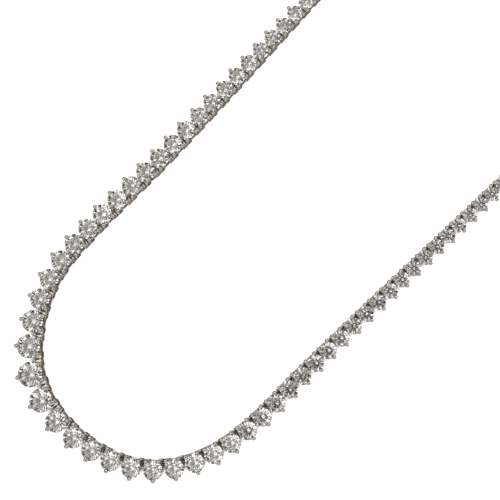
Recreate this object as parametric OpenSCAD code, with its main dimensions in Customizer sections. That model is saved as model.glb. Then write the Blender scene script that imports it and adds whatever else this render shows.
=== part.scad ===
// Diamond line necklace, laid flat in an open loop: a single row of three-prong settings with round
// brilliant stones that grow toward the middle, hinged to each other, and a box clasp.
// Millimetres, Z up, resting on the plane z = 0. The loop's long axis runs along Y: the largest stones
// are at its -Y end and the clasp is at its +Y end.

/* [Stones] */
// Diameter of the largest stone, in the middle of the necklace
centre_stone = 5.1; // [4.9:0.05:5.2]
// Diameter of the smallest stones, along the back of the neck
end_stone = 2.5; // [2.4:0.05:2.6]
// Clearance between a stone and the metal round it
stone_clearance = 0.05; // [0.04:0.01:0.06]
// Width of the table as a share of the stone's diameter
table_share = 0.57; // [0.53:0.01:0.6]

/* [Row] */
// Number of links on each side of the middle one
side_links = 61; // [58:1:61]
// Number of links on each side of the middle one that are pieces of their own
main_links = 9; // [5:1:9]
// How much longer a link is between its pins than its stone is wide
link_gap = 0.14; // [0.14:0.01:0.16]
// Distance along the course from its first point to the middle of the largest stone's link
centre_at = 0; // [-1:0.1:1]

/* [Course] */
// Y at which the arms begin to turn in at the far end
arm_end = 98; // [97.5:0.5:101]
// Radius of the far end's turn
far_radius = 25; // [24.5:0.5:26]

/* [Setting] */
// Angle of the two inner prongs from the direction that faces the inside of the loop
prong_angle = 40; // [38:1:42]
// Distance of a prong's ball tip beyond the edge of its stone
tip_reach = 0.05; // [0.03:0.01:0.07]
// Height of every stone's lowest point above the surface it lies on
culet_height = 0.5; // [0.48:0.01:0.6]
// Clearance between a hinge's moving faces
hinge_clearance = 0.11; // [0.11:0.01:0.12]

/* [Hidden] */
// Size of the stones by place in the row.
// Columns: links from the middle, share of the way from the smallest size to the largest
graduation = [
    [0, 1],
    [1, 0.885],
    [2, 0.75],
    [3, 0.635],
    [4, 0.58],
    [8, 0.56],
    [12, 0.49],
    [16, 0.385],
    [20, 0.27],
    [24, 0.18],
    [28, 0.11],
    [32, 0.05],
    [36, 0],
    [70, 0]
];

// Course of the hinge pins seen from above. Columns: x, y
// From the largest stone up the right arm
right_course = [
    [-12.2, -47.4],
    [-4.2, -49.8],
    [4.3, -49.3],
    [13.3, -45.6],
    [19, -39.3],
    [22.2, -31.4],
    [22.9, -27.6],
    [23.4, -20],
    [23.3, -11.3],
    [23.4, -3.4],
    [23.7, 10],
    [24, 20],
    [24.5, 37],
    [far_radius, 0.7 * arm_end]
];
// Round the far end
far_course = [
    for (angle = [0:22.5:180])
        [far_radius * cos(angle), arm_end + far_radius * sin(angle)]
];
// Down the left arm, back to the largest stone
left_course = [
    [-far_radius, 0.7 * arm_end],
    [-25, 52],
    [-24.6, 40],
    [-24.3, 30.5],
    [-24, 20],
    [-23.8, 9.5],
    [-23.7, -1],
    [-23.9, -10],
    [-24.1, -20.3],
    [-23.3, -30.8],
    [-19.4, -40]
];
course = concat(right_course, far_course, left_course);

// Sizes of the metal. Columns: at the smallest stones, at the largest stone
tip_radius = [0.38, 0.47];
prong_radius = [0.23, 0.28];
tip_rise = [0.16, 0.18];
base_height = [0.35, 0.45];
base_wall = 0.6;
rail_wire = [0.2, 0.22];
lower_rail_height = [0.36, 0.65];
hinge_inset = [0.08, 0.28];
block_bottom = 0.12;
block_top = [0.95, 1.5];
block_inner = [0.38, 0.64];
block_outer = [0.5, 0.85];
block_length = [0.6, 1.15];
block_round = [0.1, 0.16];
pin_setback = [0.3, 0.42];
pin_radius = [0.13, 0.18];
eye_radius = [0.38, 0.45];
eye_neck = [0.24, 0.3];
web = [0.2, 0.33];
face_gap = [0.22, 0.32];

prong_root_share = 0.45;
upper_rail_reach = 0.02;
lower_rail_reach = 0.1;
seat_ring_reach = 0.17;
rail_half_angle = 44;
plate_share = 0.25;

// Proportions of a brilliant, as shares of its radius
pavilion_share = 0.86;
crown_share = 0.29;
girdle_share = 0.03;
girdle_least = 0.06;
star_share = 0.76;
lower_half_share = 0.22;

clasp_length_margin = 1.1;
clasp_inner = 0.8;
clasp_outer = 2.1;
clasp_height = 1.9;
clasp_round = 0.5;

course_steps = 24;
metal_fn = 48;
main_count = 2 * main_links + 1;

function two_digits(k) = k < 10 ? str("0", k) : str(k);
setting_names = [for (k = [1:main_count]) str("setting_", two_digits(k))];
diamond_names = [for (k = [1:main_count]) str("diamond_", two_digits(k))];

// Graduation: a share of 0 is the smallest stone's size and 1 the largest one's
function share(n) = lookup(abs(n), graduation);
function joint_share(j) = (share(j - 1) + share(j)) / 2;
function sized(pair, q) = pair[0] + (pair[1] - pair[0]) * q;
function stone_radius(n) = sized([end_stone, centre_stone], share(n)) / 2;
function pitch(n) = 2 * stone_radius(n) + link_gap;

// The closed course as a smooth curve through its points, with the slope at each point weighted by the
// lengths of the two spans beside it
function course_point(i) = course[(i + len(course)) % len(course)];
function slope(i) =
    let (
        before = course_point(i) - course_point(i - 1),
        after = course_point(i + 1) - course_point(i),
        a = norm(before),
        b = norm(after)
    )
    (before * b / a + after * a / b) / (a + b);
function along(i, t) =
    let (
        span = norm(course_point(i + 1) - course_point(i)),
        u = t * t,
        v = t * t * t
    )
    (2 * v - 3 * u + 1) * course_point(i)
    + (v - 2 * u + t) * span * slope(i)
    + (3 * u - 2 * v) * course_point(i + 1)
    + (v - u) * span * slope(i + 1);
track = [
    for (i = [0:len(course) - 1])
        for (k = [0:course_steps - 1])
            along(i, k / course_steps)
];
track_count = len(track);
function track_point(k) = track[k % track_count];
track_runs = [
    for (k = 0, s = 0; k <= track_count; s = s + norm(track_point(k + 1) - track_point(k)), k = k + 1) s
];
loop_length = track_runs[track_count];
x_by_run = [for (k = [0:track_count]) [track_runs[k], track_point(k)[0]]];
y_by_run = [for (k = [0:track_count]) [track_runs[k], track_point(k)[1]]];
function wrapped(s) = s - floor(s / loop_length) * loop_length;
function course_at(s) = [lookup(wrapped(s), x_by_run), lookup(wrapped(s), y_by_run)];

// Pin j joins link j - 1 to link j. Link 0 carries the largest stone, and numbers grow up the right arm
half_runs = [
    for (k = 0, s = pitch(0) / 2; k <= side_links; s = s + pitch(k + 1), k = k + 1) s
];
function pin_run(j) = j > 0 ? half_runs[j - 1] : -half_runs[-j];
function pin_at(j) = course_at(centre_at + pin_run(j));

// Heights of a stone by its radius
function girdle_bottom(r) = culet_height + pavilion_share * r;
function girdle_top(r) = girdle_bottom(r) + girdle_least + girdle_share * r;
function table_height(r) = girdle_top(r) + crown_share * r;

// A link's own frame: X along the row with the fork end at +X, Y to the outside of the loop, and its two
// pins on the X axis
function fork_face(len, q) = len / 2 + sized(pin_setback, q);
function eye_face(len, q) = -len / 2 + sized(pin_setback, q) + sized(face_gap, q);
function stone_offset(n) = (stone_radius(n) + tip_reach) * cos(prong_angle) + sized(hinge_inset, share(n));
function link_length(n) = norm(pin_at(n) - pin_at(n + 1));
function stone_place(n) = [
    (fork_face(link_length(n), joint_share(n)) + eye_face(link_length(n), joint_share(n + 1))) / 2,
    stone_offset(n),
    0
];

// Middle of the laid-out row, from its outer ball tips. It lies over the frame's origin
function outer_tip(n) =
    let (
        a = pin_at(n),
        b = pin_at(n + 1),
        along = (a - b) / norm(a - b),
        outward = [-along[1], along[0]],
        place = stone_place(n)
    )
    (a + b) / 2 + along * place[0] + outward * (place[1] + stone_radius(n) + tip_reach);
outer_tips = [for (n = [-side_links:side_links]) outer_tip(n)];
function low(i) = min([for (k = [0:2 * side_links]) outer_tips[k][i] - sized(tip_radius, share(k - side_links))]);
function high(i) = max([for (k = [0:2 * side_links]) outer_tips[k][i] + sized(tip_radius, share(k - side_links))]);
middle = [low(0) + high(0), low(1) + high(1)] / 2;

module between(a, b) {
    across = a - b;
    place = (a + b) / 2 - middle;
    translate([place[0], place[1], 0])
        rotate([0, 0, atan2(across[1], across[0])])
            children();
}

module at_link(n) {
    between(pin_at(n), pin_at(n + 1)) children();
}

// A straight bar between two points, with one of its flat sides facing up
module bar(from, to, radius, sides) {
    reach = to - from;
    translate(from)
        rotate([0, 0, atan2(reach[1], reach[0])])
            rotate([0, acos(reach[2] / norm(reach)), 0])
                rotate([0, 0, 180 / sides])
                    cylinder(h = norm(reach), r = radius, $fn = sides);
}

// Greatest height of metal under the stone at a distance from its axis
function under_stone(x) = culet_height + pavilion_share * x - 1.4 * stone_clearance;

// Ring of square wire about the stone's axis, or the part of it on the inside of the loop
module rail(radius, height, wire, half_angle) {
    translate([0, 0, height])
        rotate([0, 0, -90 - half_angle])
            rotate_extrude(angle = 2 * half_angle, $fn = metal_fn)
                translate([radius - wire / 2, -wire / 2])
                    square(wire);
}

// Space kept free for the stone beside a prong: a straight cut as wide as the ball tip
module stone_space(r, reach) {
    g = stone_clearance;
    inside = prong_root_share * r / 2;
    rotate([90, 0, 0])
        translate([0, 0, -reach])
            linear_extrude(2 * reach)
                polygon([
                    [inside, under_stone(inside)],
                    [r + g, under_stone(r + g)],
                    [r + g, girdle_top(r) + g / 2],
                    [r * table_share + g, table_height(r) + g],
                    [inside, table_height(r) + g]
                ]);
}

// Prong from the base ring out to its ball tip, at an angle from the outside of the loop
module prong(r, q, angle, sides) {
    root = prong_root_share * r;
    height = girdle_top(r) + sized(tip_rise, q);
    rotate([0, 0, 90 - angle])
        difference() {
            union() {
                bar([root, 0, base_height[0] / 2], [r + tip_reach, 0, height], sized(prong_radius, q), sides);
                translate([r + tip_reach, 0, height])
                    sphere(r = sized(tip_radius, q), $fn = metal_fn);
            }
            stone_space(r, tip_radius[1] + 0.1);
        }
}

// Base ring, prongs and inner rail about the stone's axis, with an upper rail and a seat ring in the
// main links
module basket(r, q, main) {
    wire = sized(rail_wire, q);
    upper = under_stone(r - upper_rail_reach - wire / 2) - wire / 2;
    seat = under_stone(r - seat_ring_reach - wire / 2) - wire / 2;
    rotate_extrude($fn = metal_fn)
        translate([prong_root_share * r - base_wall / 2, 0])
            square([base_wall, sized(base_height, q)]);
    for (angle = [0, 180 - prong_angle, 180 + prong_angle])
        prong(r, q, angle, main ? 6 : 4);
    rail(r - lower_rail_reach, sized(lower_rail_height, q), wire, rail_half_angle);
    if (main) {
        rail(r - upper_rail_reach, upper, wire, rail_half_angle);
        rail(r - seat_ring_reach, seat, wire, 180);
    }
}

// Rectangle with round corners, as a list of points
function rounded(x0, x1, y0, y1, c) = [
    for (corner = [[x0 + c, y0 + c, 180], [x1 - c, y0 + c, 270], [x1 - c, y1 - c, 0], [x0 + c, y1 - c, 90]])
        for (turn = [0, 45, 90])
            [corner[0] + c * cos(corner[2] + turn), corner[1] + c * sin(corner[2] + turn)]
];

// Block from x0 to x1, as tall as the hinge, with round corners in the main links
module block(x0, x1, q, main) {
    y0 = -sized(block_inner, q);
    y1 = sized(block_outer, q);
    height = sized(block_top, q) - block_bottom;
    translate([0, 0, block_bottom])
        if (main)
            linear_extrude(height)
                polygon(rounded(x0, x1, y0, y1, sized(block_round, q)));
        else
            translate([x0, y0, 0])
                cube([x1 - x0, y1 - y0, height]);
}

function slot_bottom(q) = block_bottom + plate_share * (sized(block_top, q) - block_bottom);
function slot_top(q) = block_bottom + (1 - plate_share) * (sized(block_top, q) - block_bottom);

// Slot in a fork, clear for the eye that turns in it
module fork_slot(len, q) {
    height = slot_top(q) - slot_bottom(q);
    room = sized(eye_radius, q) + hinge_clearance;
    translate([len / 2 - room, -2 * room, slot_bottom(q)])
        cube([3 * room, 4 * room, height]);
}

module fork_block(len, q, main) {
    face = fork_face(len, q);
    depth = sized(pin_setback, q) + sized(eye_radius, q) + hinge_clearance + sized(web, q);
    block(face - depth, face, q, main);
}

module fork_pin(len, q) {
    translate([len / 2, 0, block_bottom + 0.05])
        cylinder(h = sized(block_top, q) - block_bottom - 0.1, r = sized(pin_radius, q), $fn = metal_fn);
}

// Eye that sits in the next link's fork, with its neck
module eye(len, q) {
    bottom = slot_bottom(q) + hinge_clearance;
    height = slot_top(q) - slot_bottom(q) - 2 * hinge_clearance;
    neck = sized(eye_neck, q);
    translate([-len / 2, 0, bottom])
        difference() {
            union() {
                cylinder(h = height, r = sized(eye_radius, q), $fn = metal_fn);
                translate([0, -neck, 0])
                    cube([eye_face(len, q) + len / 2 + sized(web, q), 2 * neck, height]);
            }
            translate([0, 0, -1])
                cylinder(h = height + 2, r = sized(pin_radius, q) + hinge_clearance, $fn = metal_fn);
        }
}

module eye_block(len, q, main) {
    face = eye_face(len, q);
    block(face, face + sized(block_length, q), q, main);
}

// The metal of one link, in its own frame
module link_metal(n) {
    r = stone_radius(n);
    length = link_length(n);
    main = abs(n) <= main_links;
    difference() {
        union() {
            translate(stone_place(n)) basket(r, share(n), main);
            fork_block(length, joint_share(n), main);
            eye_block(length, joint_share(n + 1), main);
        }
        fork_slot(length, joint_share(n));
    }
    fork_pin(length, joint_share(n));
    eye(length, joint_share(n + 1));
}

function ring(count, radius, height, start) = [
    for (k = [0:count - 1])
        [radius * cos(start + k * 360 / count), radius * sin(start + k * 360 / count), height]
];

// Brilliant with its table, stars, kites, upper and lower halves, girdle and pavilion
module brilliant(r) {
    half = 22.5;
    crown = table_height(r) - girdle_top(r);
    star_height = girdle_top(r) + crown * (1 - star_share * cos(half)) / (1 - table_share);
    lower_height = culet_height + (girdle_bottom(r) - culet_height) * lower_half_share * cos(half);
    points = concat(
        ring(8, table_share * r, table_height(r), 0),
        ring(8, star_share * r, star_height, half),
        ring(16, r, girdle_top(r), 0),
        ring(16, r, girdle_bottom(r), 0),
        ring(8, lower_half_share * r, lower_height, half),
        [[0, 0, culet_height]]
    );
    star = 8;
    top = 16;
    low = 32;
    lower = 48;
    culet = 56;
    faces = concat(
        [[for (k = [7:-1:0]) k]],
        [for (k = [0:7]) [k, (k + 1) % 8, star + k]],
        [for (k = [0:7]) [k, star + k, top + 2 * k, star + (k + 7) % 8]],
        [for (k = [0:7]) [star + k, top + 2 * k + 1, top + 2 * k]],
        [for (k = [0:7]) [star + k, top + (2 * k + 2) % 16, top + 2 * k + 1]],
        [for (k = [0:15]) [top + k, top + (k + 1) % 16, low + (k + 1) % 16, low + k]],
        [for (k = [0:7]) [lower + k, low + 2 * k, low + 2 * k + 1]],
        [for (k = [0:7]) [lower + k, low + 2 * k + 1, low + (2 * k + 2) % 16]],
        [for (k = [0:7]) [culet, lower + (k + 7) % 8, low + 2 * k, lower + k]]
    );
    polyhedron(points, faces);
}

// Eight-sided cut for the small stones: table, crown, girdle and pavilion
module small_brilliant(r) {
    points = concat(
        ring(8, table_share * r, table_height(r), 0),
        ring(8, r, girdle_top(r), 0),
        ring(8, r, girdle_bottom(r), 0),
        [[0, 0, culet_height]]
    );
    top = 8;
    low = 16;
    culet = 24;
    faces = concat(
        [[for (k = [7:-1:0]) k]],
        [for (k = [0:7]) [k, (k + 1) % 8, top + (k + 1) % 8, top + k]],
        [for (k = [0:7]) [top + k, top + (k + 1) % 8, low + (k + 1) % 8, low + k]],
        [for (k = [0:7]) [culet, low + k, low + (k + 1) % 8]]
    );
    polyhedron(points, faces);
}

module setting(n) {
    color("gainsboro") at_link(n) link_metal(n);
}

module diamond(n) {
    color("azure") at_link(n) translate(stone_place(n)) brilliant(stone_radius(n));
}

module setting_string(first, last) {
    for (n = [first:last])
        setting(n);
}

module diamond_string(first, last) {
    color("azure")
        for (n = [first:last])
            at_link(n) translate(stone_place(n)) small_brilliant(stone_radius(n));
}

// Box clasp between the row's two ends, with the same hinges as the smallest links
module clasp() {
    start = pin_at(side_links + 1);
    end = pin_at(-side_links);
    length = norm(start - end);
    x0 = eye_face(length, 0) + clasp_length_margin;
    x1 = fork_face(length, 0) - clasp_length_margin;
    color("gainsboro")
        between(start, end) {
            difference() {
                union() {
                    linear_extrude(clasp_height)
                        polygon(rounded(x0, x1, -clasp_inner, clasp_outer, clasp_round));
                    block(x1 - web[1], fork_face(length, 0), 0, false);
                    block(eye_face(length, 0), x0 + web[1], 0, false);
                }
                fork_slot(length, 0);
            }
            fork_pin(length, 0);
            eye(length, 0);
        }
}

for (k = [1:main_count]) {
    setting(k - 1 - main_links);
    diamond(k - 1 - main_links);
}
setting_string(-side_links, -main_links - 1);  // left_settings
diamond_string(-side_links, -main_links - 1);  // left_diamonds
setting_string(main_links + 1, side_links);  // right_settings
diamond_string(main_links + 1, side_links);  // right_diamonds
clasp();
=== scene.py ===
import math

import bmesh
import bpy
import numpy as np
from mathutils import Matrix, Vector


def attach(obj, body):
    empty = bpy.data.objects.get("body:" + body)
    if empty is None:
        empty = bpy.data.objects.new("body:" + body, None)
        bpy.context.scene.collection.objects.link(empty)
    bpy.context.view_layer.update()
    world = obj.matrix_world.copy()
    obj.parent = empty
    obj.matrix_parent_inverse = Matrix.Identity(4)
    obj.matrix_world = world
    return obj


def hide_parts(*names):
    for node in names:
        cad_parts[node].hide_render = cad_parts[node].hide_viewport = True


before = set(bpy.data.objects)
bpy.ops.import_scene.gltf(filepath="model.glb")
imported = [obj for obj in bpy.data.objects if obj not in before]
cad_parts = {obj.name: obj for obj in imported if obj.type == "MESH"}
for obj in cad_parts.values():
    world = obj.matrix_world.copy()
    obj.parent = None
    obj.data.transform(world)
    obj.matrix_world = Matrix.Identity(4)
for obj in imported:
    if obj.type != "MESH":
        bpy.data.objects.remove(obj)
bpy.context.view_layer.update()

# The looks of a diamond line necklace that lies on a pale floor. The row and its links are worked out in
# millimetres, as in the part's source, and become metres when a mesh is made.
MM = 0.001

# Stones: diameters of the largest and the smallest, clearance to the metal, height of the lowest point
CENTRE_STONE = 5.1
END_STONE = 2.5
STONE_CLEARANCE = 0.05
CULET_HEIGHT = 0.5
# How far straight below a stone's slanting underside the metal stays
DROP_BELOW_STONE = 1.4 * STONE_CLEARANCE
# Cut of a stone, as shares of its radius, and the least height of its girdle in millimetres
TABLE_SHARE = 0.57
STAR_SHARE = 0.76
LOWER_HALF_SHARE = 0.22
CROWN_SHARE = 0.29
PAVILION_SHARE = 0.86
GIRDLE_SHARE = 0.03
GIRDLE_LEAST = 0.06
FACETS_ROUND = 8
STONE_SIDES = 48
# Turn and largest tilt of a stone in degrees, and how fast the tilt and its direction change along the row
FACET_TURN = 37
LARGEST_TILT = 0.9
TILT_CHANGE = 2.3
LEAN_CHANGE = 1.7

# Row: links on each side of the middle one, in all and with nodes of their own, and a link's extra length
SIDE_LINKS = 61
MAIN_LINKS = 9
LINK_GAP = 0.14
# Course of the pins: end of the arms and of their straight part, turn at the far end, steps in each stretch
ARM_END = 98
ARM_STRAIGHT = 0.7 * ARM_END
FAR_RADIUS = 25
FAR_POINTS = 9
COURSE_STEPS = 24

# Size of the stones by place in the row: links from the middle, share of the way from smallest to largest
GRADUATION = [
    (0, 1), (1, 0.885), (2, 0.75), (3, 0.635), (4, 0.58), (8, 0.56), (12, 0.49),
    (16, 0.385), (20, 0.27), (24, 0.18), (28, 0.11), (32, 0.05), (36, 0), (70, 0),
]
# Course of the hinge pins: up the right arm from the largest stone, round the far end, down the left arm
RIGHT_COURSE = [
    (-12.2, -47.4), (-4.2, -49.8), (4.3, -49.3), (13.3, -45.6), (19, -39.3), (22.2, -31.4), (22.9, -27.6),
    (23.4, -20), (23.3, -11.3), (23.4, -3.4), (23.7, 10), (24, 20), (24.5, 37), (FAR_RADIUS, ARM_STRAIGHT),
]
FAR_COURSE = [
    (FAR_RADIUS * math.cos(math.radians(angle)), ARM_END + FAR_RADIUS * math.sin(math.radians(angle)))
    for angle in np.linspace(0, 180, FAR_POINTS)
]
LEFT_COURSE = [
    (-FAR_RADIUS, ARM_STRAIGHT), (-25, 52), (-24.6, 40), (-24.3, 30.5), (-24, 20), (-23.8, 9.5),
    (-23.7, -1), (-23.9, -10), (-24.1, -20.3), (-23.3, -30.8), (-19.4, -40),
]

# Metal. A pair holds a size at the smallest stones and at the largest one.
# Prongs: angle of the inner two from straight inwards, distance of the ball tips beyond the stone's edge
PRONG_ANGLE = 36
TIP_REACH = 0.05
INNER_TIP_REACH = 0.22
TIP_RADIUS = (0.38, 0.47)
TIP_RISE = (0.16, 0.18)
PRONG_RADIUS = (0.17, 0.25)
PRONG_ROOT_SHARE = 0.45
PRONG_TAPER = 0.12
PRONG_ROWS = 7
# Rings and rails: the lower rail is flatter than the stone's circle by RAIL_FLATNESS of its radius
BASE_HEIGHT = (0.35, 0.45)
BASE_WALL = 0.6
BASE_ROUND = 0.06
RAIL_WIRE = (0.2, 0.22)
RAIL_HALF_ANGLE = 44
RAIL_FLATNESS = 0.35
LOWER_RAIL_HEIGHT = (0.36, 0.65)
LOWER_RAIL_WIDTH = (0.42, 0.6)
UPPER_RAIL_REACH = 0.14
SEAT_RING_REACH = 0.17
# Hinges: how far the line of the pins lies inside the inner prongs, and a pin behind its block's face
HINGE_CLEARANCE = 0.11
HINGE_INSET = (0.02, 0.17)
PIN_SETBACK = (0.3, 0.42)
PIN_RADIUS = (0.13, 0.18)
PIN_INSET = 0.05
EYE_RADIUS = (0.38, 0.45)
EYE_NECK = (0.24, 0.3)
# Blocks: reach to the inside and the outside of the pins, wall behind the eye, gap between two blocks' faces
BLOCK_BOTTOM = 0.12
BLOCK_TOP = (0.95, 1.8)
BLOCK_INNER = (0.42, 0.38)
BLOCK_OUTER = (0.5, 0.88)
BLOCK_LENGTH = (0.6, 1.15)
WEB = (0.2, 0.33)
FACE_GAP = (0.2, 0.29)
PLATE_SHARE = 0.25
FOOT_REACH = (0.9, 2)
FOOT_WIDTH = (0.36, 0.6)
FOOT_SHARE = 0.2
# Rounding of edges
EDGE_ROUND = (0.05, 0.09)
SMALL_ROUND = 0.03
# Sides of the round parts, of which a pair is for the string links and for the links by the largest stone
BALL_STEPS = (16, 24)
BASE_STEPS = (24, 32)
PIN_STEPS = 16
EYE_STEPS = 20
SEAT_STEPS = 32
SEAT_SIDES = 10
RAIL_STEPS = 16
RAIL_SIDES = 12

# Clasp: how far its hinge blocks stand out of the box, the box's reach to the inside and the outside of the
# pins, its height and its rounding
CLASP_MARGIN = 1.1
CLASP_INNER = 0.8
CLASP_OUTER = 2.1
CLASP_HEIGHT = 1.9
CLASP_ROUND = 0.28


def sized(pair, q):
    """Size at a share q of the way from the smallest stones to the largest one."""
    return pair[0] + (pair[1] - pair[0]) * q


def share(n):
    """Share of the way from the smallest size to the largest, for link n."""
    return float(np.interp(abs(n), *zip(*GRADUATION)))


def joint_share(j):
    """The same share for pin j."""
    return (share(j - 1) + share(j)) / 2


def stone_radius(n):
    return sized((END_STONE, CENTRE_STONE), share(n)) / 2


def pitch(n):
    """Distance between a link's pins along the course."""
    return 2 * stone_radius(n) + LINK_GAP


def smooth_course(points):
    """Points of the smooth closed curve through the given ones, and the distance run at each."""
    count = len(points)
    spans = [np.linalg.norm(points[(i + 1) % count] - points[i]) for i in range(count)]
    slopes = []
    for i in range(count):
        a, b = spans[i - 1], spans[i]
        before = points[i] - points[i - 1]
        after = points[(i + 1) % count] - points[i]
        slopes.append((before * b / a + after * a / b) / (a + b))
    track = []
    for i in range(count):
        following = (i + 1) % count
        for t in np.arange(COURSE_STEPS) / COURSE_STEPS:
            u, v = t * t, t * t * t
            track.append(
                (2 * v - 3 * u + 1) * points[i]
                + (v - 2 * u + t) * spans[i] * slopes[i]
                + (3 * u - 2 * v) * points[following]
                + (v - u) * spans[i] * slopes[following]
            )
    track = np.array(track + track[:1])
    runs = np.concatenate([[0], np.cumsum(np.linalg.norm(np.diff(track, axis=0), axis=1))])
    return track, runs


TRACK, RUNS = smooth_course(np.array(RIGHT_COURSE + FAR_COURSE + LEFT_COURSE, float))
HALF_RUNS = np.cumsum([pitch(0) / 2] + [pitch(k) for k in range(1, SIDE_LINKS + 1)])


def pin_at(j):
    """Place of pin j, which joins link j - 1 to link j. Link 0 carries the largest stone."""
    run = HALF_RUNS[j - 1] if j > 0 else -HALF_RUNS[-j]
    run = run % RUNS[-1]
    return np.array([np.interp(run, RUNS, TRACK[:, 0]), np.interp(run, RUNS, TRACK[:, 1])])


def link_length(n):
    return float(np.linalg.norm(pin_at(n) - pin_at(n + 1)))


def fork_face(length, q):
    """Face of a link's forked block, which lies beyond its pin."""
    return length / 2 + sized(PIN_SETBACK, q)


def eye_face(length, q):
    """Face of the block at the link's other end, across a small gap from the next link's forked block."""
    return -length / 2 + sized(PIN_SETBACK, q) + sized(FACE_GAP, q)


def stone_place(n):
    """Middle of a link's stone in the link's frame: X along the row, Y to the outside of the loop."""
    length = link_length(n)
    x = (fork_face(length, joint_share(n)) + eye_face(length, joint_share(n + 1))) / 2
    y = (stone_radius(n) + TIP_REACH) * math.cos(math.radians(PRONG_ANGLE)) + sized(HINGE_INSET, share(n))
    return Vector((x, y, 0))


def outer_tip(n):
    """Place of a link's outer ball tip, seen from above, in the frame of the course."""
    a, b = pin_at(n), pin_at(n + 1)
    along = (a - b) / np.linalg.norm(a - b)
    outward = np.array([-along[1], along[0]])
    place = stone_place(n)
    return (a + b) / 2 + along * place.x + outward * (place.y + stone_radius(n) + TIP_REACH)


def row_middle():
    """Middle of the laid-out row, which lies over the frame's origin."""
    links = range(-SIDE_LINKS, SIDE_LINKS + 1)
    tips = np.array([outer_tip(n) for n in links])
    radii = np.array([[sized(TIP_RADIUS, share(n))] for n in links])
    return ((tips - radii).min(axis=0) + (tips + radii).max(axis=0)) / 2


MIDDLE = row_middle()


def between(a, b):
    """Frame of a piece between two pins, in millimetres."""
    place = (a + b) / 2 - MIDDLE
    return Matrix.Translation((place[0], place[1], 0)) @ Matrix.Rotation(
        math.atan2(a[1] - b[1], a[0] - b[0]), 4, "Z"
    )


def link_frame(n):
    return between(pin_at(n), pin_at(n + 1))


def stone_frame(n):
    return link_frame(n) @ Matrix.Translation(stone_place(n))


def girdle_bottom(r):
    return CULET_HEIGHT + PAVILION_SHARE * r


def girdle_height(r):
    return GIRDLE_LEAST + GIRDLE_SHARE * r


def girdle_top(r):
    return girdle_bottom(r) + girdle_height(r)


def table_height(r):
    return girdle_top(r) + CROWN_SHARE * r


def under_stone(x):
    """Greatest height of the metal below a stone, at distance x from its middle."""
    return CULET_HEIGHT + PAVILION_SHARE * x - DROP_BELOW_STONE


# Finishes of the metal
POLISHED, SATIN = 0, 1


class Shape:
    """A mesh being put together, in millimetres. Each part of it has a finish, polished or satin."""

    def __init__(self):
        self.points = []
        self.faces = []
        self.finishes = []

    def add(self, part, matrix=Matrix(), finish=POLISHED):
        points, faces = part
        start = len(self.points)
        self.points.extend(matrix @ Vector(p) for p in points)
        self.faces.extend([start + i for i in face] for face in faces)
        self.finishes.extend([finish] * len(faces))

    def piece(self, name, materials, smooth):
        """Object with the finished mesh, in metres, with one material for each finish."""
        mesh = bpy.data.meshes.new(name)
        mesh.from_pydata([p * MM for p in self.points], [], self.faces)
        for material in materials:
            mesh.materials.append(material)
        mesh.polygons.foreach_set("material_index", self.finishes)
        mesh.shade_smooth() if smooth else mesh.shade_flat()
        piece = bpy.data.objects.new(name, mesh)
        bpy.context.scene.collection.objects.link(piece)
        if smooth:
            piece.modifiers.new("even_normals", "WEIGHTED_NORMAL").keep_sharp = True
        return piece


def revolved(profile, steps, closed):
    """Surface swept round the Z axis by a profile of (radius, height); closed joins its ends."""
    count = len(profile)
    points, faces, rows = [], [], []
    for radius, height in profile:
        if radius == 0:
            rows.append([len(points)] * steps)
            points.append((0, 0, height))
        else:
            rows.append(list(range(len(points), len(points) + steps)))
            for k in range(steps):
                a = 2 * math.pi * k / steps
                points.append((radius * math.cos(a), radius * math.sin(a), height))
    for i in range(count if closed else count - 1):
        low, high = rows[i], rows[(i + 1) % count]
        for k in range(steps):
            m = (k + 1) % steps
            face = [low[k], low[m], high[m], high[k]]
            faces.append([p for j, p in enumerate(face) if p not in face[:j]])
    return points, faces


def ball(radius, steps):
    """Round ball about the origin."""
    rows = steps // 2 + 2
    profile = [
        (radius * math.sin(math.pi * k / rows) if 0 < k < rows else 0, -radius * math.cos(math.pi * k / rows))
        for k in range(rows + 1)
    ]
    return revolved(profile, steps, False)


def round_ring(radius, height, wire):
    """Ring of round wire about the Z axis."""
    profile = []
    for k in range(SEAT_SIDES):
        a = 2 * math.pi * k / SEAT_SIDES
        profile.append((radius + wire / 2 * math.cos(a), height + wire / 2 * math.sin(a)))
    return revolved(profile, SEAT_STEPS, True)


def flat_ring(inner, outer, z0, z1, soft, steps):
    """Washer with softened edges about the Z axis."""
    profile = []
    for x, z, start in ((outer, z1, 0), (inner, z1, 90), (inner, z0, 180), (outer, z0, 270)):
        for turn in (0, 90):
            a = math.radians(start + turn)
            inward = -1 if x == outer else 1
            down = -1 if z == z1 else 1
            profile.append((x + inward * soft + soft * math.cos(a), z + down * soft + soft * math.sin(a)))
    return revolved(profile, steps, True)


def plug(radius, z0, z1, soft):
    """Round pin about the Z axis with softened ends."""
    low_end = [(0, z0), (radius - soft, z0), (radius, z0 + soft)]
    high_end = [(radius, z1 - soft), (radius - soft, z1), (0, z1)]
    return revolved(low_end + high_end, PIN_STEPS, False)


def swept(path, radii, sides):
    """Tube of round section along a path, with flat ends."""
    points, faces = [], []
    for i, p in enumerate(path):
        ahead = (path[min(i + 1, len(path) - 1)] - path[max(i - 1, 0)]).normalized()
        side = ahead.cross(Vector((0, 0, 1)))
        side = side.normalized() if side.length > 1e-6 else Vector((1, 0, 0))
        up = side.cross(ahead)
        for k in range(sides):
            a = 2 * math.pi * k / sides
            points.append(p + (side * math.cos(a) + up * math.sin(a)) * radii[i])
    for i in range(len(path) - 1):
        for k in range(sides):
            m = (k + 1) % sides
            faces.append([i * sides + k, i * sides + m, (i + 1) * sides + m, (i + 1) * sides + k])
    faces.append(list(range(sides))[::-1])
    faces.append([len(points) - sides + k for k in range(sides)])
    return points, faces


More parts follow.
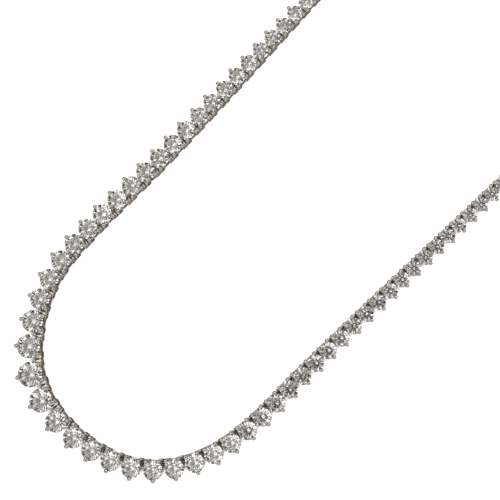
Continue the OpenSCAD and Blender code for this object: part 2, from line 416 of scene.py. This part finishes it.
def softened_prism(outline, z0, z1, soft, segments=2):
    """Prism over an outline with all its edges rounded."""
    mesh = bmesh.new()
    low = [mesh.verts.new((x, y, z0)) for x, y in outline]
    high = [mesh.verts.new((x, y, z1)) for x, y in outline]
    count = len(outline)
    mesh.faces.new(low[::-1])
    mesh.faces.new(high)
    for k in range(count):
        m = (k + 1) % count
        mesh.faces.new((low[k], low[m], high[m], high[k]))
    bmesh.ops.bevel(mesh, geom=mesh.edges[:], offset=soft, segments=segments, profile=0.5, affect="EDGES")
    bmesh.ops.recalc_face_normals(mesh, faces=mesh.faces[:])
    mesh.verts.index_update()
    points = [v.co.copy() for v in mesh.verts]
    faces = [[v.index for v in f.verts] for f in mesh.faces]
    mesh.free()
    return points, faces


def box(x0, x1, y0, y1, z0, z1, soft, segments=2):
    """Box with all its edges rounded."""
    return softened_prism([(x0, y0), (x1, y0), (x1, y1), (x0, y1)], z0, z1, soft, segments)


def clear_of_stone(points, r):
    """Points of a prong that runs along X, moved out of the notch that the stone sits in."""
    g = STONE_CLEARANCE
    edge = r + g
    table = r * TABLE_SHARE + g
    rise = (girdle_top(r) + g / 2 - table_height(r) - g) / (edge - table)
    steep = math.hypot(1, PAVILION_SHARE)
    slant = math.hypot(1, rise)
    moved = []
    for p in points:
        p = Vector(p)
        x = p.x
        over_floor = (p.z - under_stone(x)) / steep
        under_crown = (girdle_top(r) + g / 2 + rise * (x - edge) - p.z) / slant
        within = edge - x
        if min(over_floor, under_crown, within) > 0:
            if within <= min(over_floor, under_crown):
                p.x = edge
            elif under_crown <= over_floor:
                p += Vector((-rise, 0, 1)) / slant * under_crown
            else:
                p += Vector((PAVILION_SHARE, 0, -1)) / steep * over_floor
        moved.append(p)
    return moved


def prong(r, q, reach, steps):
    """Prong that runs along X from the base ring to its ball tip."""
    root = Vector((PRONG_ROOT_SHARE * r, 0, BASE_HEIGHT[0] / 2))
    head = Vector((r + reach, 0, girdle_top(r) + sized(TIP_RISE, q)))
    way = [k / (PRONG_ROWS - 1) for k in range(PRONG_ROWS)]
    path = [root.lerp(head, t) for t in way]
    radii = [sized(PRONG_RADIUS, q) * (1 + PRONG_TAPER - PRONG_TAPER * t) for t in way]
    shape = Shape()
    points, faces = swept(path, radii, steps // 2 + 2)
    shape.add((clear_of_stone(points, r), faces))
    points, faces = ball(sized(TIP_RADIUS, q), steps)
    points = [Vector(p) + head for p in points]
    shape.add((clear_of_stone(points, r), faces))
    return shape.points, shape.faces


def rail(outer, height, width, wire, half_angle):
    """Arc of flat wire with round edges about the Z axis, on the inside of the loop."""
    section = []
    for k in range(RAIL_SIDES):
        a = 2 * math.pi * (k + 0.5) / RAIL_SIDES
        middle = outer - wire / 2 if math.cos(a) > 0 else outer - width + wire / 2
        section.append((middle + wire / 2 * math.cos(a), height + wire / 2 * math.sin(a)))
    points, faces = [], []
    for i in range(RAIL_STEPS + 1):
        a = math.radians(-90) + half_angle * (2 * i / RAIL_STEPS - 1)
        points += [Vector((x * math.cos(a), x * math.sin(a), z)) for x, z in section]
    for i in range(RAIL_STEPS):
        here, there = i * RAIL_SIDES, (i + 1) * RAIL_SIDES
        for k in range(RAIL_SIDES):
            m = (k + 1) % RAIL_SIDES
            faces.append([here + k, there + k, there + m, here + m])
    faces.append(list(range(RAIL_SIDES)))
    faces.append([len(points) - 1 - k for k in range(RAIL_SIDES)])
    return points, faces


def add_basket(shape, n, place):
    """Base ring, prongs and rails under one stone."""
    r = stone_radius(n)
    q = share(n)
    wire = sized(RAIL_WIRE, q)
    root = PRONG_ROOT_SHARE * r
    is_main = abs(n) <= MAIN_LINKS
    inner, outer = root - BASE_WALL / 2, root + BASE_WALL / 2
    base = flat_ring(inner, outer, 0, sized(BASE_HEIGHT, q), BASE_ROUND, BASE_STEPS[is_main])
    shape.add(base, place)
    for angle, reach in (
        (0, TIP_REACH),
        (180 - PRONG_ANGLE, INNER_TIP_REACH),
        (180 + PRONG_ANGLE, INNER_TIP_REACH),
    ):
        turned = place @ Matrix.Rotation(math.radians(90 - angle), 4, "Z")
        shape.add(prong(r, q, reach, BALL_STEPS[is_main]), turned)
    half_angle = math.radians(RAIL_HALF_ANGLE)
    outer = (1 + RAIL_FLATNESS) * r
    lower = rail(
        outer,
        sized(LOWER_RAIL_HEIGHT, q),
        sized(LOWER_RAIL_WIDTH, q),
        wire,
        math.asin(r * math.sin(half_angle) / outer),
    )
    shape.add(lower, place @ Matrix.Translation((0, RAIL_FLATNESS * r, 0)))
    upper = under_stone(r + UPPER_RAIL_REACH - wire) - wire / 2
    shape.add(rail(r + UPPER_RAIL_REACH, upper, wire, wire, half_angle), place)
    if is_main:
        seat = under_stone(r - SEAT_RING_REACH - wire / 2) - wire / 2
        shape.add(round_ring(r - SEAT_RING_REACH, seat, wire), place)


def slot_heights(q):
    """Floor and ceiling of a forked block's slot, and the block's top."""
    top = sized(BLOCK_TOP, q)
    plate = PLATE_SHARE * (top - BLOCK_BOTTOM)
    return BLOCK_BOTTOM + plate, top - plate, top


def foot(x0, x1, q):
    """Low foot beside a block's face, from under the block out to the space between two stones."""
    top = BLOCK_BOTTOM + FOOT_SHARE * (sized(BLOCK_TOP, q) - BLOCK_BOTTOM)
    inner, outer = sized(BLOCK_OUTER, q) / 2, sized(FOOT_REACH, q)
    return box(x0, x1, inner, outer, BLOCK_BOTTOM, top, SMALL_ROUND, 1)


def add_fork(shape, length, q, place):
    """Forked block with its pin, at the link's end along +X."""
    face = fork_face(length, q)
    room = sized(EYE_RADIUS, q) + HINGE_CLEARANCE
    back = face - (sized(PIN_SETBACK, q) + room + sized(WEB, q))
    inner, outer = sized(BLOCK_INNER, q), sized(BLOCK_OUTER, q)
    slot_low, slot_high, top = slot_heights(q)
    soft = sized(EDGE_ROUND, q)
    shape.add(box(back, face, -inner, outer, slot_high, top, soft), place, SATIN)
    shape.add(box(back, face, -inner, outer, BLOCK_BOTTOM, slot_low, soft, 1), place, SATIN)
    web = box(back, length / 2 - room, -inner, outer, slot_low - soft, slot_high + soft, SMALL_ROUND, 1)
    shape.add(web, place, SATIN)
    pin = plug(sized(PIN_RADIUS, q), BLOCK_BOTTOM + PIN_INSET, top - PIN_INSET, SMALL_ROUND)
    shape.add(pin, place @ Matrix.Translation((length / 2, 0, 0)))


def add_eye(shape, length, q, place):
    """Block at the link's other end, with the eye that sits in the next link's fork."""
    face = eye_face(length, q)
    slot_low, slot_high, top = slot_heights(q)
    low, high = slot_low + HINGE_CLEARANCE, slot_high - HINGE_CLEARANCE
    hole = sized(PIN_RADIUS, q) + HINGE_CLEARANCE
    neck = sized(EYE_NECK, q)
    soft = sized(EDGE_ROUND, q)
    ring = flat_ring(hole, sized(EYE_RADIUS, q), low, high, SMALL_ROUND, EYE_STEPS)
    shape.add(ring, place @ Matrix.Translation((-length / 2, 0, 0)))
    bar = box(-length / 2 + hole + SMALL_ROUND, face + soft, -neck, neck, low, high, SMALL_ROUND)
    shape.add(bar, place)
    inner, outer = sized(BLOCK_INNER, q), sized(BLOCK_OUTER, q)
    shape.add(box(face, face + sized(BLOCK_LENGTH, q), -inner, outer, BLOCK_BOTTOM, top, soft), place, SATIN)


def add_link(shape, n):
    """All the metal of one link."""
    place = link_frame(n)
    length = link_length(n)
    add_basket(shape, n, stone_frame(n))
    q = joint_share(n)
    face = fork_face(length, q)
    add_fork(shape, length, q, place)
    shape.add(foot(face - sized(FOOT_WIDTH, q), face, q), place)
    q = joint_share(n + 1)
    face = eye_face(length, q)
    add_eye(shape, length, q, place)
    shape.add(foot(face, face + sized(FOOT_WIDTH, q), q), place)


def add_clasp(shape):
    """Box clasp between the row's two ends."""
    a, b = pin_at(SIDE_LINKS + 1), pin_at(-SIDE_LINKS)
    length = float(np.linalg.norm(a - b))
    place = between(a, b)
    x0, x1 = eye_face(length, 0) + CLASP_MARGIN, fork_face(length, 0) - CLASP_MARGIN
    shape.add(box(x0, x1, -CLASP_INNER, CLASP_OUTER, 0, CLASP_HEIGHT, CLASP_ROUND), place)
    add_fork(shape, length, 0, place)
    add_eye(shape, length, 0, place)
    inner, outer, soft = BLOCK_INNER[0], BLOCK_OUTER[0], EDGE_ROUND[0]
    fork_back = length / 2 - EYE_RADIUS[0] - HINGE_CLEARANCE - WEB[0]
    eye_back = eye_face(length, 0) + BLOCK_LENGTH[0]
    for start, end in ((x1 - WEB[1], fork_back + 2 * soft), (eye_back - 2 * soft, x0 + WEB[1])):
        shape.add(box(start, end, -inner, outer, BLOCK_BOTTOM, BLOCK_TOP[0], soft), place)


def facet_planes():
    """Facets of a brilliant of radius 1 with its girdle's foot at height 0: a point and normal for each."""
    girdle = GIRDLE_LEAST
    crown = CROWN_SHARE
    half = math.radians(360 / FACETS_ROUND / 2)

    def at(radius, angle, height):
        return Vector((radius * math.cos(angle), radius * math.sin(angle), height))

    star_height = girdle + crown * (1 - STAR_SHARE * math.cos(half)) / (1 - TABLE_SHARE)
    lower_height = PAVILION_SHARE * (LOWER_HALF_SHARE * math.cos(half) - 1)
    top = girdle + crown
    planes = [[at(0, 0, top), at(1, 0, top), at(1, 1, top)]]
    for k in range(FACETS_ROUND):
        main = math.radians(360 / FACETS_ROUND * k)
        middle, following = main + half, main + 2 * half
        table = at(TABLE_SHARE, main, top)
        star = at(STAR_SHARE, middle, star_height)
        star_before = at(STAR_SHARE, main - half, star_height)
        lower = at(LOWER_HALF_SHARE, middle, lower_height)
        planes.append([table, star, star_before])
        planes.append([table, at(TABLE_SHARE, following, top), star])
        planes.append([star, at(1, main, girdle), at(1, middle, girdle)])
        planes.append([star, at(1, middle, girdle), at(1, following, girdle)])
        along_edge = at(1, main + math.radians(90), 0)
        planes.append([at(0, 0, -PAVILION_SHARE), at(1, main, 0), at(1, main, 0) + along_edge])
        planes.append([lower, at(1, main, 0), at(1, middle, 0)])
        planes.append([lower, at(1, middle, 0), at(1, following, 0)])
    inside = at(0, 0, 0)
    facets = []
    for a, b, c in planes:
        normal = (b - a).cross(c - a).normalized()
        if normal.dot(inside - a) > 0:
            normal = -normal
        facets.append((a, normal))
    return facets


def cut_brilliant():
    """Unit brilliant, cut facet by facet from a round blank."""
    blank_height, on_plane, same_point = 3, 1e-6, 1e-5
    mesh = bmesh.new()
    bmesh.ops.create_cone(
        mesh,
        cap_ends=True,
        segments=STONE_SIDES,
        radius1=1,
        radius2=1,
        depth=blank_height,
        matrix=Matrix.Rotation(math.pi / STONE_SIDES, 4, "Z"),
    )
    for point, normal in facet_planes():
        cut = bmesh.ops.bisect_plane(
            mesh,
            geom=mesh.verts[:] + mesh.edges[:] + mesh.faces[:],
            dist=on_plane,
            plane_co=point,
            plane_no=normal,
            clear_outer=True,
        )
        edges = [e for e in cut["geom_cut"] if isinstance(e, bmesh.types.BMEdge) and e.is_boundary]
        if len(edges) > 2:
            bmesh.ops.contextual_create(mesh, geom=edges)
    bmesh.ops.remove_doubles(mesh, verts=mesh.verts[:], dist=same_point)
    bmesh.ops.recalc_face_normals(mesh, faces=mesh.faces[:])
    mesh.verts.index_update()
    points = [v.co.copy() for v in mesh.verts]
    faces = [[v.index for v in f.verts] for f in mesh.faces]
    mesh.free()
    return points, faces


BRILLIANT = cut_brilliant()


def add_stone(shape, n):
    """One brilliant in its setting, turned and tilted a little as a hand-set stone is."""
    r = stone_radius(n)
    thicker = girdle_height(r) - GIRDLE_LEAST * r
    points = [
        Vector((p.x * r, p.y * r, p.z * r + (thicker if p.z > GIRDLE_LEAST / 2 else 0)))
        for p in BRILLIANT[0]
    ]
    turn = math.radians(FACET_TURN * n)
    tilt = math.radians(LARGEST_TILT) * math.cos(TILT_CHANGE * n)
    lean = Matrix.Rotation(tilt, 4, (math.cos(LEAN_CHANGE * n), math.sin(LEAN_CHANGE * n), 0))
    place = stone_frame(n) @ Matrix.Translation((0, 0, girdle_bottom(r)))
    shape.add((points, BRILLIANT[1]), place @ lean @ Matrix.Rotation(turn, 4, "Z"))


# Patterns of the materials: their scales in waves per metre, how rough they are, and a fine one's detail
NOISE_ROUGHNESS = 0.55
TONE_SCALE = 900
GLOSS_SCALE = 2600
MARK_SCALE = 1800
MARK_DETAIL = 4.0
TINT_SCALE = 160
POLISH_SCALE = 2200
PAPER_SCALE = 30

# White gold: depth of its polishing marks in millimetres, the painted shade in its recesses, and its colour
# at a grazing angle
MARK_DEPTH = 0.012
MARK_STRENGTH = 0.25
RECESS_SAMPLES = 8
PAINTED_SHADE_TONES = [(0.16, (0.03, 0.02, 0.015)), (0.5, (1, 1, 1))]
PAINTED_SHADE_STRENGTH = 0.95
RIM_TINT = (0.35, 0.31, 0.27, 1)

# Diamond
DIAMOND_IOR = 2.417
ROUGHEST_FACET = 0.015
STONE_TINTS = [(0.3, (0.97, 0.98, 1.0)), (0.5, (1.0, 1.0, 1.0)), (0.7, (0.99, 0.985, 0.96))]

# Floor: its own tones, and the shade in the necklace's narrow gaps, felt over SHADE_REACH millimetres
PAPER_TONES = [(0.3, (0.3, 0.28, 0.26)), (0.7, (0.34, 0.32, 0.3))]
PAPER_ROUGHNESS = 0.8
SHADE_REACH = 6
SHADE_SAMPLES = 16
SHADE_TONES = [(0.29, (0.02, 0.015, 0.01)), (0.42, (0.95, 0.95, 0.95))]
FLOOR_GLOW = 1.1
FLOOR_HALF = 3.0
FLOOR_DROP = 0.00002


def nodes_of(material):
    """Empty node tree with an output and one shader."""
    material.use_nodes = True
    tree = material.node_tree
    tree.nodes.clear()
    output = tree.nodes.new("ShaderNodeOutputMaterial")
    shader = tree.nodes.new("ShaderNodeBsdfPrincipled")
    tree.links.new(shader.outputs["BSDF"], output.inputs["Surface"])
    return tree, shader


def noise(tree, coordinates, scale, detail=3.0):
    """Value of a cloud pattern."""
    node = tree.nodes.new("ShaderNodeTexNoise")
    node.inputs["Scale"].default_value = scale
    node.inputs["Detail"].default_value = detail
    node.inputs["Roughness"].default_value = NOISE_ROUGHNESS
    tree.links.new(coordinates, node.inputs["Vector"])
    return node.outputs["Fac"]


def ramp(tree, factor, stops):
    """Colour by a factor, from stops that each hold a place and a colour."""
    node = tree.nodes.new("ShaderNodeValToRGB")
    elements = node.color_ramp.elements
    elements[0].position, elements[0].color = stops[0][0], (*stops[0][1], 1)
    elements[1].position, elements[1].color = stops[-1][0], (*stops[-1][1], 1)
    for place, colour in stops[1:-1]:
        elements.new(place).color = (*colour, 1)
    tree.links.new(factor, node.inputs["Fac"])
    return node.outputs["Color"]


def to_range(tree, factor, low, high):
    """Value from low to high by a factor from 0 to 1."""
    node = tree.nodes.new("ShaderNodeMapRange")
    node.inputs["To Min"].default_value = low
    node.inputs["To Max"].default_value = high
    tree.links.new(factor, node.inputs["Value"])
    return node.outputs["Result"]


def room_around(tree, distance, samples):
    """How open the space about a point is within a distance in millimetres: 0 closed, 1 open."""
    node = tree.nodes.new("ShaderNodeAmbientOcclusion")
    node.samples = samples
    node.inputs["Distance"].default_value = distance * MM
    return node.outputs["AO"]


def multiplied(tree, a, b, strength):
    """Colour a, multiplied by colour b as far as the strength says."""
    node = tree.nodes.new("ShaderNodeMix")
    node.data_type = "RGBA"
    node.blend_type = "MULTIPLY"
    node.inputs["Factor"].default_value = strength
    tree.links.new(a, node.inputs["A"])
    tree.links.new(b, node.inputs["B"])
    return node.outputs["Result"]


def white_gold(name, smoothest, roughest, darker, lighter, recess):
    """White gold with faint polishing marks, and painted shade that darkens its colour where it has less room
    than the recess size around it.
    """
    material = bpy.data.materials.new(name)
    tree, shader = nodes_of(material)
    place = tree.nodes.new("ShaderNodeTexCoord").outputs["Object"]
    metal = ramp(tree, noise(tree, place, TONE_SCALE), [(0.3, darker), (0.7, lighter)])
    # Painted shade: the metal's colour is darkened where the space around it is narrow, standing in for the
    # shade in recesses and gaps
    painted_shade = ramp(tree, room_around(tree, recess, RECESS_SAMPLES), PAINTED_SHADE_TONES)
    tree.links.new(multiplied(tree, metal, painted_shade, PAINTED_SHADE_STRENGTH), shader.inputs["Base Color"])
    shader.inputs["Metallic"].default_value = 1.0
    shader.inputs["Specular Tint"].default_value = RIM_TINT
    gloss = to_range(tree, noise(tree, place, GLOSS_SCALE), smoothest, roughest)
    tree.links.new(gloss, shader.inputs["Roughness"])
    bump = tree.nodes.new("ShaderNodeBump")
    bump.inputs["Strength"].default_value = MARK_STRENGTH
    bump.inputs["Distance"].default_value = MARK_DEPTH * MM
    tree.links.new(noise(tree, place, MARK_SCALE, MARK_DETAIL), bump.inputs["Height"])
    tree.links.new(bump.outputs["Normal"], shader.inputs["Normal"])
    return material


def diamond():
    """Clear stone with the faintest tint, which changes from stone to stone."""
    material = bpy.data.materials.new("diamond")
    tree, shader = nodes_of(material)
    place = tree.nodes.new("ShaderNodeTexCoord").outputs["Object"]
    tint = ramp(tree, noise(tree, place, TINT_SCALE, 1.0), STONE_TINTS)
    tree.links.new(tint, shader.inputs["Base Color"])
    shader.inputs["Transmission Weight"].default_value = 1.0
    shader.inputs["IOR"].default_value = DIAMOND_IOR
    polish = to_range(tree, noise(tree, place, POLISH_SCALE), 0.0, ROUGHEST_FACET)
    tree.links.new(polish, shader.inputs["Roughness"])
    return material


def pale_floor():
    """White board: glowing bright to the eye, with painted shadow in the necklace's narrow gaps, and a quiet
    warm grey in the metal's and the stones' reflections.
    """
    material = bpy.data.materials.new("pale_floor")
    tree, shader = nodes_of(material)
    place = tree.nodes.new("ShaderNodeTexCoord").outputs["Object"]
    seen = tree.nodes.new("ShaderNodeLightPath").outputs["Is Camera Ray"]
    grey = ramp(tree, noise(tree, place, PAPER_SCALE), PAPER_TONES)
    # Painted shadow: the floor's glow is darkened where the necklace closes in the space above it, in its
    # narrow gaps
    glow_and_painted_shadow = ramp(tree, room_around(tree, SHADE_REACH, SHADE_SAMPLES), SHADE_TONES)
    tree.links.new(grey, shader.inputs["Base Color"])
    tree.links.new(glow_and_painted_shadow, shader.inputs["Emission Color"])
    tree.links.new(to_range(tree, seen, 0.0, FLOOR_GLOW), shader.inputs["Emission Strength"])
    shader.inputs["Roughness"].default_value = PAPER_ROUGHNESS
    return material


# White gold in the order of the finishes, polished and then satin: least and most rough, darker and lighter
# tone, reach of the painted shade in its recesses in millimetres
GOLD = [
    white_gold("polished_gold", 0.04, 0.1, (0.75, 0.715, 0.67), (0.85, 0.82, 0.78), 0.7),
    # The satin copy is lighter than the polished one. Its lighter tone is painted light that makes the block
    # tops look lit, and its roughness is the real satin finish
    white_gold("satin_gold_painted_light", 0.18, 0.26, (0.88, 0.85, 0.8), (0.96, 0.93, 0.88), 0.35),
]
# The clasp's wide flat sides are brushed, so that they don't mirror the dark opening of the tent
CLASP_GOLD = [
    white_gold("brushed_gold", 0.5, 0.6, (0.8, 0.77, 0.73), (0.9, 0.87, 0.82), 0.35),
    GOLD[SATIN],
]
DIAMOND = [diamond()]


def show(shape, name, materials, node, smooth):
    """Puts a finished shape into the scene in the place of one node of the CAD."""
    piece = shape.piece(name, materials, smooth)
    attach(piece, "root")
    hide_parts(node)


for n in range(-MAIN_LINKS, MAIN_LINKS + 1):
    number = f"{n + MAIN_LINKS + 1:02d}"
    metal, stone = Shape(), Shape()
    add_link(metal, n)
    add_stone(stone, n)
    show(metal, f"link_{number}", GOLD, f"setting_{number}", True)
    show(stone, f"stone_{number}", DIAMOND, f"diamond_{number}", False)
for side, links in (
    ("left", range(-SIDE_LINKS, -MAIN_LINKS)),
    ("right", range(MAIN_LINKS + 1, SIDE_LINKS + 1)),
):
    metal, stones = Shape(), Shape()
    for n in links:
        add_link(metal, n)
        add_stone(stones, n)
    show(metal, f"{side}_links", GOLD, f"{side}_settings", True)
    show(stones, f"{side}_stones", DIAMOND, f"{side}_diamonds", False)
clasp = Shape()
add_clasp(clasp)
show(clasp, "clasp_box", CLASP_GOLD, "clasp", True)

# Floor
floor_mesh = bpy.data.meshes.new("floor")
floor_corners = [(FLOOR_HALF * x, FLOOR_HALF * y, 0) for x, y in ((-1, -1), (1, -1), (1, 1), (-1, 1))]
floor_mesh.from_pydata(floor_corners, [], [(0, 1, 2, 3)])
floor_mesh.materials.append(pale_floor())
floor = bpy.data.objects.new("floor", floor_mesh)
bpy.context.scene.collection.objects.link(floor)
floor.location.z = -FLOOR_DROP

# Camera: looks down on the row, leaning by VIEW_LEAN towards the picture's right side. Lengths are in metres,
# and the sensor's width is in millimetres.
VIEW_LEAN = math.radians(11)
VIEW_DISTANCE = 0.3
FOCAL_PIXELS = 1530
PICTURE_PIXELS = 500
SENSOR = 36
NEAREST_SEEN = 0.01
FARTHEST_SEEN = 10
picture_right = Vector((1, 1, 0)).normalized()
picture_up = Vector((-1, 1, 0)).normalized()
look_at = Vector((-MIDDLE[0] * MM, -MIDDLE[1] * MM, 0))
back = picture_right * math.sin(VIEW_LEAN) + Vector((0, 0, 1)) * math.cos(VIEW_LEAN)
camera_data = bpy.data.cameras.new("camera")
camera_data.sensor_width = SENSOR
camera_data.lens = SENSOR * FOCAL_PIXELS / PICTURE_PIXELS
camera_data.clip_start = NEAREST_SEEN
camera_data.clip_end = FARTHEST_SEEN
camera = bpy.data.objects.new("camera", camera_data)
bpy.context.scene.collection.objects.link(camera)
right = picture_up.cross(back)
camera.matrix_world = Matrix.Translation(look_at + back * VIEW_DISTANCE) @ Matrix(
    (right, picture_up, back)
).transposed().to_4x4()
bpy.context.scene.camera = camera


# White tent round the necklace with one dark opening, as the metal mirrors it: its light by the cosine of the
# angle from the opening's middle, which lies to the lower right of the camera
OPENING_RIGHT = math.radians(19)
OPENING_DOWN = math.radians(13)
TENT = [
    (0.0, (0.04, 0.03, 0.02)),
    (0.25, (0.46, 0.42, 0.37)),
    (0.5, (1.05, 1.0, 0.93)),
    (0.74, (1.1, 1.05, 0.98)),
    (0.77, (0.015, 0.01, 0.006)),
]
# The tent as it shows through the stones, by the cosine of the angle from the camera
STONE_TENT = [
    (0.0, (0.13, 0.115, 0.1)),
    (0.35, (0.33, 0.31, 0.28)),
    (0.7, (0.68, 0.65, 0.6)),
    (0.91, (0.75, 0.72, 0.665)),
    (0.95, (0.12, 0.105, 0.09)),
]
# Uneven light through the stones, by the value of a cloud pattern round the necklace
PATCHES = [(0.4, (0.3, 0.29, 0.27)), (0.5, (0.75, 0.75, 0.75)), (0.6, (1.0, 1.0, 1.0))]
PATCH_SCALE = 2.2
TENT_STRENGTH = 0.92
# Soft boxes in two rings round the necklace. Columns: azimuth and elevation in degrees, power in watts
# The metal doesn't mirror the high ring, which lights up the stones alone.
LAMP_SIZE = 0.3
LAMP_DISTANCE = 0.9
LOW_LAMPS = [
    (20, 26, 0.35), (75, 32, 0.45), (135, 28, 0.55),
    (195, 32, 0.4), (255, 26, 0.35), (320, 32, 0.45),
]
HIGH_LAMPS = [
    (45, 44, 0.3), (105, 54, 0.35), (165, 46, 0.4),
    (225, 52, 0.3), (290, 44, 0.3), (350, 52, 0.3),
]


def softbox(name, azimuth, elevation, power, mirrored):
    """Square lamp that faces the necklace and may show as a reflection in its metal."""
    lamp_data = bpy.data.lights.new(name, "AREA")
    lamp_data.shape = "SQUARE"
    lamp_data.size = LAMP_SIZE
    lamp_data.energy = power
    lamp = bpy.data.objects.new(name, lamp_data)
    a, e = math.radians(azimuth), math.radians(elevation)
    away = Vector((math.cos(a) * math.cos(e), math.sin(a) * math.cos(e), math.sin(e)))
    lamp.location = look_at + away * LAMP_DISTANCE
    lamp.rotation_mode = "QUATERNION"
    lamp.rotation_quaternion = away.to_track_quat("Z", "Y")
    lamp.visible_glossy = mirrored
    bpy.context.scene.collection.objects.link(lamp)


for ring, lamps, mirrored in (("low", LOW_LAMPS, True), ("high", HIGH_LAMPS, False)):
    for number, (azimuth, elevation, power) in enumerate(lamps):
        softbox(f"{ring}_lamp_{number}", azimuth, elevation, power, mirrored)

world = bpy.data.worlds.new("studio")
bpy.context.scene.world = world
world.use_nodes = True
sky = world.node_tree
ways = sky.nodes.new("ShaderNodeTexCoord").outputs["Generated"]


def towards(axis):
    """Cosine of the angle between a direction in the sky and an axis."""
    node = sky.nodes.new("ShaderNodeVectorMath")
    node.operation = "DOT_PRODUCT"
    node.inputs[1].default_value = axis
    sky.links.new(ways, node.inputs[0])
    return node.outputs["Value"]


opening = (back + right * math.tan(OPENING_RIGHT) - picture_up * math.tan(OPENING_DOWN)).normalized()
stone_light = ramp(sky, towards(back), STONE_TENT)
patches = ramp(sky, noise(sky, ways, PATCH_SCALE, 1.0), PATCHES)
tent = sky.nodes.new("ShaderNodeMix")
tent.data_type = "RGBA"
sky.links.new(sky.nodes.new("ShaderNodeLightPath").outputs["Is Transmission Ray"], tent.inputs["Factor"])
sky.links.new(ramp(sky, towards(opening), TENT), tent.inputs["A"])
sky.links.new(multiplied(sky, stone_light, patches, 1.0), tent.inputs["B"])
sky.links.new(tent.outputs["Result"], sky.nodes["Background"].inputs["Color"])
sky.nodes["Background"].inputs["Strength"].default_value = TENT_STRENGTH
bpy.context.scene.view_settings.view_transform = "Standard"
